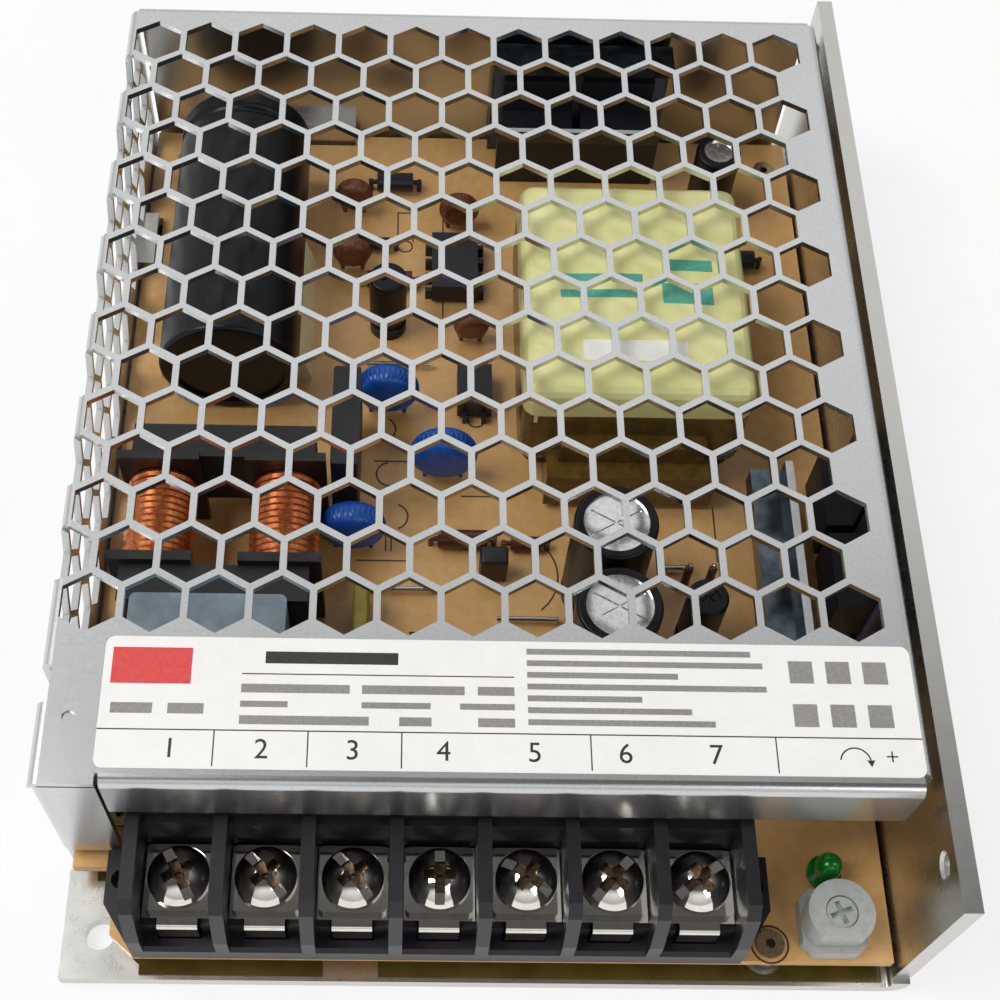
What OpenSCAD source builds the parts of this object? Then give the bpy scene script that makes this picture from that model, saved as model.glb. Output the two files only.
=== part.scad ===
// Enclosed switching power supply: a folded aluminium base with one full-height
// side wall, a folded steel cover punched with hexagons, and a circuit board with
// a seven-way screw terminal block at the front.
// +X right, +Y to the rear, +Z up. The origin is the middle of the bottom face.

/* [Case] */
// Overall width of the case
case_w = 97; // [97:0.5:110]
// Overall length of the case
case_l = 129; // [129:0.5:150]
// Overall height of the case, label included
case_h = 30; // [30:0.5:45]
// Thickness of the aluminium base
base_t = 2; // [1.5:0.1:2]
// Thickness of the steel cover
cover_t = 0.8; // [0.6:0.1:1]
// Gap between the cover and the base's side wall
cover_gap = 0.66; // [0.4:0.02:1]
// How far the base runs past the cover at the rear
rear_ledge = 3.6; // [2:0.2:6]
// How far the cover stops short of the base at the front
front_ledge = 13; // [13:0.5:16]
// Height of the low lip along the base's left edge
lip_h = 4.4; // [3.5:0.1:4.6]

/* [Mesh] */
// Distance between neighbouring hexagons
hex_pitch = 7; // [6:0.1:9]
// Size of a hexagon across its flats
hex_flats = 6.2; // [5:0.1:6.4]
// Plain band between the cover's rear edge and the first row's middle
mesh_rear_band = 6.6; // [5:0.1:10]
// Plain band between the left fold and the first column's middle
mesh_left_band = 4.18; // [4:0.02:6]
// Plain band between the last column's middle and the cover's right edge
mesh_right_band = 5.6; // [4:0.1:8]
// Lowest place a hexagon may reach on the left wall
mesh_wall_floor = 8.8; // [8.6:0.1:14]

/* [Cover] */
// Outer radius of the cover's folds
fold_r = 1.2; // [1:0.1:1.6]
// Depth of the lip over the terminal block
front_lip = 8.3; // [6:0.1:8.6]
// Width of the tab that closes the left front corner
corner_tab_w = 7; // [5:0.5:8]
// Height of that tab's lower edge
corner_tab_z = 8.4; // [8:0.1:12]
// Depth of the flange inside the base's side wall
side_flange = 5; // [3:0.5:6]
// Size of the label, along X
label_w = 86.7; // [70:0.1:86.8]
// Size of the label, along Y
label_d = 15; // [12:0.5:15.2]
// Thickness of the label
label_t = 0.1; // [0.1:0.05:0.2]

/* [Board] */
// Thickness of the circuit board
board_t = 1.6; // [1.2:0.1:2]
// Height of the standoffs on the base
standoff_h = 3; // [2.8:0.1:4]
// Gap between the board's right edge and the side wall
board_side_gap = 0.5; // [0.3:0.1:1]
// Distance from the base's front edge to the board's
board_front_gap = 1.6; // [1.2:0.1:2]
// Thickness of the insulation film
film_t = 0.3; // [0.2:0.05:0.4]

/* [Terminal block] */
// Number of terminals
terminals = 7; // [3:1:7]
// Distance between terminals
terminal_pitch = 9.5; // [9:0.1:9.6]
// Thickness of a divider
divider_t = 1.5; // [1:0.1:1.8]
// Height of the block's dividers above the board
block_h = 14; // [13.5:0.1:14.3]
// Depth of the block, front to rear
block_d = 16.7; // [15:0.1:18]
// Nominal diameter of a terminal screw
screw_d = 3.5; // [3:0.1:4]
// Diameter of a terminal screw's head
screw_head_d = 6.8; // [5.4:0.1:7]
// How far a clamp plate lifts
clamp_lift = 3; // [2:0.5:3]

/* [Parts on the board] */
// Diameter of the bulk capacitor
bulk_d = 18; // [14:0.5:18]
// Length of the bulk capacitor
bulk_l = 40.5; // [30:0.5:41]
// Diameter of each output capacitor
output_cap_d = 10; // [8:0.5:10.2]
// Height of each output capacitor
output_cap_h = 18; // [14:0.5:20]
// Size of the transformer, along X
transformer_w = 28.5; // [24:0.5:29]
// Size of the transformer, along Y
transformer_l = 33.5; // [28:0.5:34]
// Height of the transformer above the board
transformer_h = 20; // [16:0.5:21.5]
// Diameter of the trimmer's rotor
rotor_d = 3.5; // [3:0.1:4]

/* [Mounting] */
// Diameter of the plain hole in the base's front left corner
ear_hole_d = 3.5; // [3:0.1:4]
// Tapping diameter of the M3 holes
tap_d = 2.5; // [2.4:0.05:2.6]
// Distance between the bottom holes, along X
bottom_holes_x = 65; // [50:0.5:70]
// Distance between the bottom holes, along Y
bottom_holes_y = 77; // [60:0.5:90]

/* [Hidden] */

$fn = 48;
tiny = 0.01;

// Faces of the case
x_left = -case_w / 2;
x_right = case_w / 2;
y_front = -case_l / 2;
y_rear = case_l / 2;
shell_h = case_h - label_t;

// Base
base_fold_r = 2.5;
wall_setback = 0.6;
wall_inner = x_right - base_t;
side_hole_z = case_h - 3.7;
side_hole_inset = 6.6;
side_hole_mouth = 0.35;
ear_hole_at = [x_left + 4.2, y_front + 5.05];
lug_w = 9;
lug_h = 8.3;
lug_places = [-30, 38];
lug_screw_z = 5.6;
rear_tab_w = 16;
rear_tab_x = -26;
rear_tab_h = 10;
rear_screw_z = 7.4;
cover_screw_d = 3;
cover_screw_head_d = 5.4;
screw_gap = 0.05;

// Cover
fold_inner = fold_r - cover_t;
cover_right = wall_inner - cover_gap;
cover_front = y_front + front_ledge;
cover_rear = y_rear - rear_ledge;
cover_foot = 0.3;
x_fold = x_left + fold_r;
z_fold = shell_h - fold_r;
fold_length = (fold_inner + cover_t / 2) * PI / 2;
hex_r = hex_flats / 2 / cos(30);
row_pitch = hex_pitch * sin(60);
hex_x = x_left + mesh_left_band;
hex_y = cover_rear - mesh_rear_band;
label_right = cover_right - 0.9;
label_front = cover_front + 1.8;
mesh_front = label_front + label_d + hex_r + 0.15;
mesh_rows = floor((hex_y - mesh_front) / row_pitch) + 1;
mesh_cols = floor((cover_right - mesh_right_band - hex_x) / hex_pitch) + 1;
notch_front = label_front + 7.3;
notch_rear = label_front + 11.6;
notch_depth = 6;

// Board and film
board_z = base_t + standoff_h;
deck = board_z + board_t;
board_left = x_left + cover_t + 0.3;
board_right = wall_inner - board_side_gap;
board_front = y_front + board_front_gap;
board_rear = cover_rear - cover_t - 0.7;
lip_inner = x_left + cover_t + base_t;
film_top = base_t + film_t;
standoff_d = 3.8;
rivet_d = 3.2;
rivet_head_h = 0.5;
standoff_places = [
    [x_left + 80.6, board_front + 1.9],
    [lip_inner + 3.2, y_front + 18],
    [lip_inner + 3.2, board_rear - 5.4],
    [board_right - 3.4, board_rear - 5.4]];

// Terminal block
block_x = x_left + 43;
block_front = y_front + 1.3;
block_back = block_front + block_d;
block_w = terminals * terminal_pitch + divider_t;
bay_w = terminal_pitch - divider_t;
screw_y = block_front + 6.8;
bay_rear = screw_y + 4.1;
contact_t = 1;
contact_top = deck + 6.8;
clamp_t = 1.2;
clamp_w = 7.4;
clamp_dish = 0.25;
screw_head_h = 2.7;
screw_dome = 1.15;
slot_w = 1.1;
shank_l = 6;
thread_gap = 0.08;
ear_w = 3.4;
ear_h = 3;
ear_gap = 0.3;
screw_turns = [-62, -48, -52, -90, -35, 48, 36];

// Front of the board
led_at = [x_right - 9.6, y_front + 11.55];
led_r = 1.5;
led_flange_r = 1.95;
trimmer_at = [x_right - 9.4, y_front + 5.6];
trimmer_r = 3.7;
trimmer_h = 6.2;
rotor_h = 1.6;
rotor_gap = 0.1;

// Places of the larger parts
bulk_at = [x_left + 15.5, 30.6];
x_cap_at = [x_left + 16.2, cover_front + 20.4];
choke_at = [x_left + 16.3, x_cap_at.y + 17.9];
transformer_at = [18.7, 16.8];
output_cap_places = [[14.9, -16.5], [14.7, -27.4]];
bridge_at = [-17.4, 0.8];

// Repeated package sizes
package_w = 10;
package_t = 4.4;
package_h = 15.5;
package_foot = 2.6;
pad_t = 0.3;
sink_t = 1.5;
rectifier_places = [-7.5, -18.6];
transistor_places = [8.2, 19.4];

// A box from its lowest corner to its highest corner
module block(low, high) {
    translate(low)
        cube(high - low);
}

// A prism along X of an outline drawn in Y and Z
module along_x(x0, x1) {
    translate([x0, 0, 0])
        rotate([90, 0, 90])
            linear_extrude(x1 - x0)
                children();
}

// A prism along Y of an outline drawn in X and Z
module along_y(y0, y1) {
    translate([0, y1, 0])
        rotate([90, 0, 0])
            linear_extrude(y1 - y0)
                children();
}

// A quarter ring, from +X to +Y, for a fold
module fold_section(inner, outer) {
    intersection() {
        difference() {
            circle(outer);
            circle(inner);
        }
        square(outer + 1);
    }
}

module rounded_square(size, r) {
    union() {
        translate([-size.x / 2 + r, -size.y / 2])
            square([size.x - 2 * r, size.y]);
        translate([-size.x / 2, -size.y / 2 + r])
            square([size.x, size.y - 2 * r]);
        for (sx = [-1, 1], sy = [-1, 1])
            translate([sx * (size.x / 2 - r), sy * (size.y / 2 - r)])
                circle(r);
    }
}

// A round lead standing on the board
module lead(at, top, d = 0.8) {
    translate([at.x, at.y, deck])
        cylinder(d = d, h = top - deck, $fn = 16);
}

// ---------- base ----------

module base_section() {
    translate([wall_inner - (base_fold_r - base_t), base_fold_r])
        rotate(-90)
            fold_section(base_fold_r - base_t, base_fold_r);
    square_from([x_left + cover_t, 0], [x_right - base_fold_r, base_t]);
    square_from([wall_inner, base_fold_r], [x_right, shell_h]);
}

module square_from(low, high) {
    translate(low)
        square(high - low);
}

// Low lip along the left edge, with a tapped lug at each cover screw
module left_lip() {
    block([x_left + cover_t, cover_front, 0], [lip_inner, cover_rear - 2, lip_h]);
    for (y = lug_places)
        block([x_left + cover_t, y - lug_w / 2, lip_h - tiny], [lip_inner, y + lug_w / 2, lug_h]);
}

// A tab lanced up out of the plate, with the window that it leaves
module rear_tab() {
    tab_y = cover_rear - cover_t;
    block([rear_tab_x - rear_tab_w / 2, tab_y - base_t, 0],
        [rear_tab_x + rear_tab_w / 2, tab_y, rear_tab_h]);
}

module rear_window() {
    tab_y = cover_rear - cover_t;
    block([rear_tab_x - rear_tab_w / 2 - 1, tab_y - base_t - rear_tab_h + base_t, -1],
        [rear_tab_x + rear_tab_w / 2 + 1, tab_y - base_t, base_t + 1]);
}

module side_holes() {
    for (sy = [-1, 1])
        translate([wall_inner - 1, sy * (case_l / 2 - side_hole_inset), side_hole_z])
            rotate([0, 90, 0]) {
                cylinder(d = tap_d, h = base_t + 2);
                translate([0, 0, 1 - tiny])
                    cylinder(r1 = tap_d / 2 + side_hole_mouth, r2 = tap_d / 2, h = side_hole_mouth);
            }
}

module bottom_holes() {
    for (sx = [-1, 1], sy = [-1, 1])
        translate([sx * bottom_holes_x / 2, sy * bottom_holes_y / 2, -1])
            cylinder(d = tap_d, h = base_t + 2);
}

module base_chassis() {
    color("silver")
        difference() {
            union() {
                along_y(y_front, y_rear)
                    base_section();
                block([x_left, y_front, 0], [x_left + cover_t + tiny, cover_front - 0.3, base_t]);
                left_lip();
                rear_tab();
            }
            block([wall_inner - 1, y_front - 1, base_fold_r + 1], [x_right + 1, y_front + wall_setback, case_h]);
            rear_window();
            side_holes();
            bottom_holes();
            translate([ear_hole_at.x, ear_hole_at.y, -1])
                cylinder(d = ear_hole_d, h = base_t + 2);
            at_cover_screws()
                cover_screw_form(screw_gap);
        }
}

module board_standoffs() {
    color("gainsboro")
        for (at = standoff_places)
            translate([at.x, at.y, base_t])
                difference() {
                    cylinder(d = standoff_d, h = standoff_h);
                    translate([0, 0, 0.5])
                        cylinder(d = tap_d + 2 * screw_gap, h = standoff_h);
                }
}

// ---------- cover ----------

module hexagon() {
    rotate(30)
        circle(hex_r, $fn = 6);
}

function row_shift(row) = row % 2 == 0 ? 0 : -hex_pitch / 2;
function row_y(row) = hex_y - row * row_pitch;
// Height on the left wall of what lies at x on the sheet laid flat
function wall_height(x) = z_fold - (x_fold - x - fold_length);
// Half the width of a hexagon, at a distance from its middle line
function hex_half(d) = hex_r - abs(d) * tan(30);

// Holes of the top face. The odd rows' first hole runs over the left fold.
module top_mesh() {
    for (row = [0 : mesh_rows - 1], col = [0 : mesh_cols - 1])
        translate([hex_x + row_shift(row) + col * hex_pitch, row_y(row)])
            hexagon();
}

// Holes of the left wall, drawn in Y and Z, in line with the sheet laid flat
module wall_mesh() {
    for (row = [0 : mesh_rows - 1], col = [-6 : 0]) {
        z = wall_height(hex_x + row_shift(row) + col * hex_pitch);
        if (z - hex_flats / 2 > mesh_wall_floor)
            translate([row_y(row), z])
                rotate(90)
                    hexagon();
    }
}

// Cutter for the part of a hexagon that lies on the fold itself
module fold_hole() {
    middle = x_fold - (hex_x - hex_pitch / 2);
    turn = 90 * middle / fold_length;
    side = fold_inner * cos(45);
    peak = fold_r * (cos(turn) - sin(turn)) * cos(45);
    // A hair narrower than the flat holes, so no two corners fall on one place
    top_half = hex_half(middle) - 2 * tiny;
    wall_half = hex_half(fold_length - middle) - 2 * tiny;
    far = fold_r * 2;
    rotate([0, -45, 0])
        linear_extrude(far)
            polygon([[far, -top_half], [far, top_half], [side, top_half], [peak, hex_r],
                [-side, wall_half], [-far, wall_half], [-far, -wall_half], [-side, -wall_half],
                [peak, -hex_r], [side, -top_half]]);
}

module left_fold(y0, y1) {
    translate([x_fold, 0, z_fold])
        difference() {
            along_y(y0, y1)
                rotate(90)
                    fold_section(fold_inner, fold_r);
            for (row = [1 : 2 : mesh_rows - 1])
                translate([0, row_y(row), 0])
                    fold_hole();
        }
}

module cover_top() {
    dimple_at = [x_left + 3.6, label_front + 5.6];
    difference() {
        translate([0, 0, shell_h - cover_t])
            linear_extrude(cover_t)
                difference() {
                    union() {
                        square_from([x_fold, cover_front + fold_r], [cover_right - fold_r, cover_rear - fold_r]);
                        square_from([x_fold, cover_front], [x_left + corner_tab_w, cover_front + fold_r + tiny]);
                    }
                    top_mesh();
                }
        translate([dimple_at.x, dimple_at.y, shell_h - 0.25])
            cylinder(d = 1.4, h = 1);
    }
}

module cover_left_wall() {
    along_x(x_left, x_left + cover_t)
        difference() {
            square_from([cover_front + fold_r, cover_foot], [cover_rear - fold_r, z_fold]);
            square_from([notch_front, z_fold - notch_depth], [notch_rear, z_fold + 1]);
            wall_mesh();
        }
}

// Tab folded from the left wall across the front corner
module corner_tab() {
    tab_top = shell_h - cover_t - 0.3;
    translate([x_fold, cover_front + fold_r, corner_tab_z])
        linear_extrude(tab_top - corner_tab_z)
            rotate(180)
                fold_section(fold_inner, fold_r);
    block([x_fold - tiny, cover_front, corner_tab_z],
        [x_left + corner_tab_w, cover_front + cover_t, tab_top]);
}

// A fold along X with its flange hanging down, outer face at y = 0, facing -Y
module hanging_flange(x0, x1, depth) {
    along_x(x0, x1)
        translate([fold_r, shell_h - fold_r])
            rotate(90)
                fold_section(fold_inner, fold_r);
    block([x0, 0, shell_h - depth], [x1, cover_t, shell_h - fold_r + tiny]);
}

module mesh_cover() {
    color("lightgray")
        difference() {
            union() {
                cover_top();
                cover_left_wall();
                left_fold(cover_front, notch_front);
                left_fold(notch_rear, cover_rear - fold_r);
                corner_tab();
                translate([0, cover_front, 0])
                    hanging_flange(x_left + corner_tab_w + 0.4, cover_right - fold_r, front_lip);
                translate([0, cover_rear, 0])
                    mirror([0, 1, 0])
                        hanging_flange(x_fold, cover_right - fold_r, shell_h - base_t - 0.4);
                along_y(cover_front + fold_r + 1, cover_rear - fold_r)
                    translate([cover_right - fold_r, z_fold])
                        fold_section(fold_inner, fold_r);
                block([cover_right - cover_t, cover_front + fold_r + 1, shell_h - side_flange],
                    [cover_right, cover_rear - fold_r, z_fold + tiny]);
            }
            at_cover_screws()
                cover_screw_form(screw_gap);
        }
}

// Puts a screw, head up and flush at z = 0, at each cover screw's place
module at_cover_screws() {
    for (y = lug_places)
        translate([x_left, y, lug_screw_z])
            rotate([0, -90, 0])
                children();
    translate([rear_tab_x, cover_rear, rear_screw_z])
        rotate([-90, 0, 0])
            children();
}

// Countersunk head and shank, or the hole that they need with a gap
module cover_screw_form(gap = 0) {
    sink = (cover_screw_head_d - cover_screw_d) / 2;
    translate([0, 0, -sink])
        cylinder(d1 = cover_screw_d + 2 * gap, d2 = cover_screw_head_d + 2 * gap, h = sink);
    translate([0, 0, -base_t - cover_t - (gap > 0 ? 1 : 0)])
        cylinder(d = cover_screw_d + 2 * gap, h = base_t + cover_t - sink + (gap > 0 ? 1 : 0) + tiny);
}

module cover_screws() {
    color("gainsboro")
        at_cover_screws()
            difference() {
                cover_screw_form();
                for (a = [45, 135])
                    rotate(a)
                        block([-1.3, -0.3, -0.7], [1.3, 0.3, 1]);
            }
}

module front_label() {
    color("white")
        translate([label_right - label_w / 2, label_front + label_d / 2, shell_h])
            linear_extrude(label_t)
                rounded_square([label_w, label_d], 1);
}

// ---------- board ----------

// Outline of the board's left front corner, cut back round the base's corner hole
module corner_relief(gap) {
    inner = ear_hole_at.x + 4.6;
    polygon([[x_left - 1, y_front - 1], [inner - gap, y_front - 1], [inner - gap, ear_hole_at.y - 3.5],
        [inner - 2.7 - gap, ear_hole_at.y - 1.2], [inner - 2.7 - gap, cover_front - 1.4 + gap],
        [x_left - 1, cover_front - 1.4 + gap]]);
}

// Cut-out round the base's rear tab
module rear_relief(gap) {
    square_from([rear_tab_x - rear_tab_w / 2 - gap, cover_rear - cover_t - base_t - gap],
        [rear_tab_x + rear_tab_w / 2 + gap, cover_rear]);
}

module insulation_film() {
    slot_x = block_x - 13;
    color("olive")
        translate([0, 0, base_t])
            linear_extrude(film_t)
                difference() {
                    square_from([lip_inner + 0.5, y_front + 0.5], [wall_inner - 0.9, board_rear - 0.5]);
                    rear_relief(1);
                    corner_relief(-0.3);
                    square_from([slot_x, y_front], [slot_x + 6.3, y_front + 2.4]);
                    for (at = standoff_places)
                        translate(at)
                            circle(d = standoff_d + 0.8);
                }
}

module circuit_board() {
    color("burlywood")
        translate([0, 0, board_z])
            linear_extrude(board_t)
                difference() {
                    square_from([board_left, board_front], [board_right, board_rear]);
                    corner_relief(0);
                    for (y = lug_places)
                        square_from([x_left, y - lug_w / 2 - 0.5], [lip_inner + 0.4, y + lug_w / 2 + 0.5]);
                    rear_relief(0.5);
                    for (at = standoff_places)
                        translate(at)
                            circle(d = tap_d + 2 * screw_gap);
                }
}

module board_rivets() {
    color("tan")
        for (at = standoff_places)
            translate([at.x, at.y, deck])
                difference() {
                    union() {
                        cylinder(d = rivet_d, h = rivet_head_h);
                        translate([0, 0, -board_t - 1.5])
                            cylinder(d = tap_d, h = board_t + 1.5 + tiny);
                    }
                    translate([0, 0, -1])
                        cylinder(d = 1.1, h = 2);
                }
}

// ---------- terminal block ----------

function terminal_x(i) = block_x + (i - (terminals - 1) / 2) * terminal_pitch;

module housing_floor_section() {
    floor_z = contact_top - contact_t;
    polygon([[block_front, deck], [block_front, deck + 2.6], [block_front + 0.5, deck + 3],
        [block_front + 2.1, deck + 3], [block_front + 2.1, floor_z], [bay_rear, floor_z],
        [bay_rear + 0.4, deck + block_h - 1.2], [bay_rear + 1.2, deck + block_h - 1.2],
        [bay_rear + 1.2, deck + block_h], [block_back - 1, deck + block_h],
        [block_back, deck + block_h - 1], [block_back, deck]]);
}

module divider_section() {
    polygon([[block_front, deck], [block_front, deck + 6], [block_front + 1.3, deck + block_h - 1.6],
        [block_front + 2.6, deck + block_h], [bay_rear + 1.3, deck + block_h], [bay_rear + 1.3, deck]]);
}

// Low foot at each end, with its hole
module block_ear() {
    difference() {
        translate([block_w / 2 - tiny, 0, deck])
            linear_extrude(ear_h)
                polygon([[0, block_front], [ear_w, block_front + 5.2],
                    [ear_w, cover_front - ear_gap], [0, cover_front - ear_gap]]);
        translate([block_w / 2 + ear_w / 2, screw_y + 1.2, deck - 1])
            cylinder(d = 2.2, h = ear_h + 2);
    }
}

module terminal_housing() {
    floor_z = contact_top - contact_t;
    color("#202024")
        difference() {
            union() {
                along_x(block_x - block_w / 2, block_x + block_w / 2)
                    housing_floor_section();
                for (i = [0 : terminals])
                    along_x(block_x - block_w / 2 + i * terminal_pitch,
                        block_x - block_w / 2 + i * terminal_pitch + divider_t)
                        divider_section();
                translate([block_x, 0, 0]) {
                    block_ear();
                    mirror([1, 0, 0])
                        block_ear();
                }
            }
            for (i = [0 : terminals - 1])
                translate([terminal_x(i), 0, 0]) {
                    translate([0, screw_y, deck + 0.8])
                        cylinder(d = screw_d + 0.8, h = block_h);
                    block([-2.4, block_front + 1.4, deck + 2], [2.4, block_front + 3, floor_z + 1]);
                    block([-1.7, bay_rear - 1, deck - 1], [1.7, bay_rear, floor_z + 1]);
                }
        }
}

// Flat plate with a bent tongue in front and a solder leg behind
module terminal_contact() {
    floor_z = contact_top - contact_t;
    difference() {
        union() {
            block([-bay_w / 2 + 0.1, block_front + 2.6, floor_z], [bay_w / 2 - 0.1, bay_rear - 0.1, contact_top]);
            along_x(-2.2, 2.2)
                difference() {
                    union() {
                        square_from([block_front + 2.1, contact_top - 1.2], [block_front + 2.7, contact_top]);
                        square_from([block_front + 1.5, deck + 3.2], [block_front + 2.1, contact_top - 0.6]);
                        translate([block_front + 2.1, contact_top - 0.6])
                            circle(0.6);
                    }
                    square_from([block_front + 2.1 + tiny, deck], [block_front + 2.7, contact_top - 1.2]);
                }
            block([-1.5, bay_rear - 0.9, deck], [1.5, bay_rear - 0.1, floor_z + tiny]);
        }
        translate([0, screw_y, floor_z - 1])
            cylinder(d = screw_d + 2 * thread_gap, h = contact_t + 2);
    }
}

module terminal_contacts() {
    color("gainsboro")
        for (i = [0 : terminals - 1])
            translate([terminal_x(i), 0, 0])
                terminal_contact();
}

// Captive square washer, dished round the screw head
module clamp_plate(i) {
    color("whitesmoke")
        translate([terminal_x(i), screw_y, contact_top])
            difference() {
                linear_extrude(clamp_t)
                    rounded_square([clamp_w, clamp_w], 0.6);
                translate([0, 0, -1])
                    cylinder(d = screw_d + 2 * thread_gap, h = clamp_t + 2);
                translate([0, 0, clamp_t - clamp_dish])
                    cylinder(d = screw_head_d + 0.4, h = 1);
            }
}

// Pan head with a slot right across and a cross in the middle, on a plain shank
module terminal_screw(i) {
    head_r = screw_head_d / 2;
    dome_r = head_r * screw_dome;
    rim_h = screw_head_h - dome_r + sqrt(dome_r * dome_r - head_r * head_r) - tiny;
    seat = contact_top + clamp_t - clamp_dish;
    color("whitesmoke")
        translate([terminal_x(i), screw_y, seat])
            rotate(screw_turns[i])
                difference() {
                    rotate_extrude()
                        union() {
                            square_from([0, -shank_l], [screw_d / 2, tiny]);
                            square_from([0, 0], [head_r, rim_h]);
                            intersection() {
                                square_from([0, 0], [head_r, screw_head_h]);
                                translate([0, screw_head_h - dome_r])
                                    circle(dome_r);
                            }
                        }
                    block([-head_r - 1, -slot_w / 2, screw_head_h - 1.5],
                        [head_r + 1, slot_w / 2, screw_head_h + 1]);
                    for (a = [0, 90])
                        rotate(a)
                            block([-1.75, -slot_w / 2 - 0.02, screw_head_h - 1.9],
                                [1.75, slot_w / 2 + 0.02, screw_head_h + 1]);
                    translate([0, 0, screw_head_h - 2.3])
                        cylinder(d1 = 0.6, d2 = 2, h = 2.4);
                }
}

// ---------- front of the board ----------

module power_led() {
    color("green") {
        translate([led_at.x, led_at.y, deck + 0.6])
            rotate_extrude()
                union() {
                    square_from([0, 0], [led_flange_r, 0.9]);
                    square_from([0, 0], [led_r, 3.2]);
                    intersection() {
                        translate([0, 3.2])
                            circle(led_r);
                        square_from([0, 0], [led_r, 6]);
                    }
                }
        for (sx = [-1, 1])
            lead([led_at.x + sx * 1.27, led_at.y], deck + 0.7, 0.5);
    }
}

// Round body with a flat front, on a square foot
module trimmer_base() {
    color("lightgray")
        translate([trimmer_at.x, trimmer_at.y, deck])
            difference() {
                union() {
                    linear_extrude(trimmer_h)
                        intersection() {
                            circle(trimmer_r);
                            square_from([-trimmer_r, -trimmer_r + 0.9], [trimmer_r, trimmer_r]);
                        }
                    linear_extrude(2.2)
                        polygon([[-trimmer_r, -2.4], [-2.4, -trimmer_r], [2.4, -trimmer_r], [trimmer_r, -2.4],
                            [trimmer_r, 2.4], [2.4, trimmer_r], [-2.4, trimmer_r], [-trimmer_r, 2.4]]);
                }
                translate([0, 0, trimmer_h - rotor_h])
                    cylinder(d = rotor_d + 2 * rotor_gap, h = rotor_h + 1);
                translate([0, 0, -1])
                    cylinder(d = 1.2, h = trimmer_h);
            }
}

module trimmer_rotor() {
    color("darkgray")
        translate([trimmer_at.x, trimmer_at.y, deck + trimmer_h - rotor_h])
            difference() {
                cylinder(d = rotor_d, h = rotor_h - 0.3);
                for (a = [20, 110])
                    rotate(a)
                        block([-1.3, -0.3, 0.6], [1.3, 0.3, 3]);
            }
}

// ---------- mains input ----------

// Cylinder along X with a lead turned down at each end
module axial_part(at, d, l, lift, wire = 0.7) {
    translate([at.x - l / 2, at.y, deck + lift + d / 2])
        rotate([0, 90, 0])
            cylinder(d = d, h = l);
    for (sx = [-1, 1]) {
        translate([at.x + sx * (l / 2 + 0.9), at.y, deck])
            cylinder(d = wire, h = lift + d / 2 + wire / 2, $fn = 16);
        translate([at.x + sx * (l / 2 + 0.45) - 0.5, at.y, deck + lift + d / 2])
            rotate([0, 90, 0])
                cylinder(d = wire, h = 1, $fn = 16);
    }
}

// Flat round part standing on edge, its axis along Y
module disc_part(at, d, t, lift) {
    translate([at.x, at.y + t / 2, deck + lift + d / 2])
        rotate([90, 0, 0])
            cylinder(d = d, h = t);
    for (sx = [-1, 1])
        lead([at.x + sx * d * 0.28, at.y], deck + lift + d * 0.3, 0.6);
}

module input_fuse() {
    color("sienna")
        translate([x_left + 10, cover_front + 9.6, deck])
            cylinder(d = 8.4, h = 8);
}

module inrush_thermistor() {
    color("darkolivegreen")
        disc_part([x_left + 26, cover_front + 11], 11, 4, 2);
}

module surge_varistor() {
    color("steelblue")
        disc_part([x_left + 39, cover_front + 11], 10, 4, 2);
}

module x_capacitor() {
    color("lightsteelblue")
        translate([x_cap_at.x, x_cap_at.y, deck])
            union() {
                translate([0, 0, 0.5])
                    linear_extrude(15.4)
                        rounded_square([18, 11], 0.8);
                for (sx = [-1, 1])
                    translate([sx * 7, 0, 0])
                        linear_extrude(0.6)
                            rounded_square([2, 9], 0.4);
            }
}

choke_limb_gap = 15.3;
choke_coil_r = 4.3;
choke_limb_r = 2.6;
choke_axis = deck + 8.6;
choke_coil_l = 12.6;
choke_wall = 1.2;
choke_bar = 4.6;

// Ferrite ring lying flat: two bars joined by the round limbs in the coils
module choke_core() {
    reach = choke_coil_l / 2 + choke_wall;
    color("#1c1c1e")
        translate([choke_at.x, choke_at.y, choke_axis])
            union() {
                for (sy = [-1, 1])
                    translate([0, sy * (reach + choke_bar / 2), 0])
                        cube([choke_limb_gap + 7, choke_bar, 10], center = true);
                for (sx = [-1, 1])
                    translate([sx * choke_limb_gap / 2, reach + tiny, 0])
                        rotate([90, 0, 0])
                            cylinder(r = choke_limb_r, h = 2 * reach + 2 * tiny);
            }
}

// Sleeves round the limbs, with square walls that stand on the board
module choke_bobbin() {
    reach = choke_coil_l / 2 + choke_wall;
    wall_low = deck - choke_axis;
    color("#26262a")
        translate([choke_at.x, choke_at.y, choke_axis])
            for (sx = [-1, 1])
                translate([sx * choke_limb_gap / 2, 0, 0])
                    difference() {
                        union() {
                            for (y = [-reach, choke_coil_l / 2])
                                block([-4.9, y, wall_low], [4.9, y + choke_wall, 6.2]);
                            translate([0, reach - tiny, 0])
                                rotate([90, 0, 0])
                                    cylinder(r = choke_limb_r + 0.6, h = 2 * reach - 2 * tiny);
                        }
                        translate([0, reach + 1, 0])
                            rotate([90, 0, 0])
                                cylinder(r = choke_limb_r + 0.05, h = 2 * reach + 2);
                    }
}

// The outermost layer of wire is ridged turn by turn
module choke_coils() {
    turns = 14;
    step = (choke_coil_l - 0.2) / turns;
    color("peru")
        translate([choke_at.x, choke_at.y, choke_axis])
            for (sx = [-1, 1])
                translate([sx * choke_limb_gap / 2, choke_coil_l / 2 - 0.1, 0])
                    rotate([90, 0, 0])
                        rotate_extrude()
                            polygon(concat(
                                [[choke_limb_r + 0.6, 0]],
                                [for (i = [0 : turns - 1]) each
                                    [[choke_coil_r - 0.2, i * step], [choke_coil_r, (i + 0.5) * step]]],
                                [[choke_coil_r - 0.2, turns * step], [choke_limb_r + 0.6, turns * step]]));
}

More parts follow.
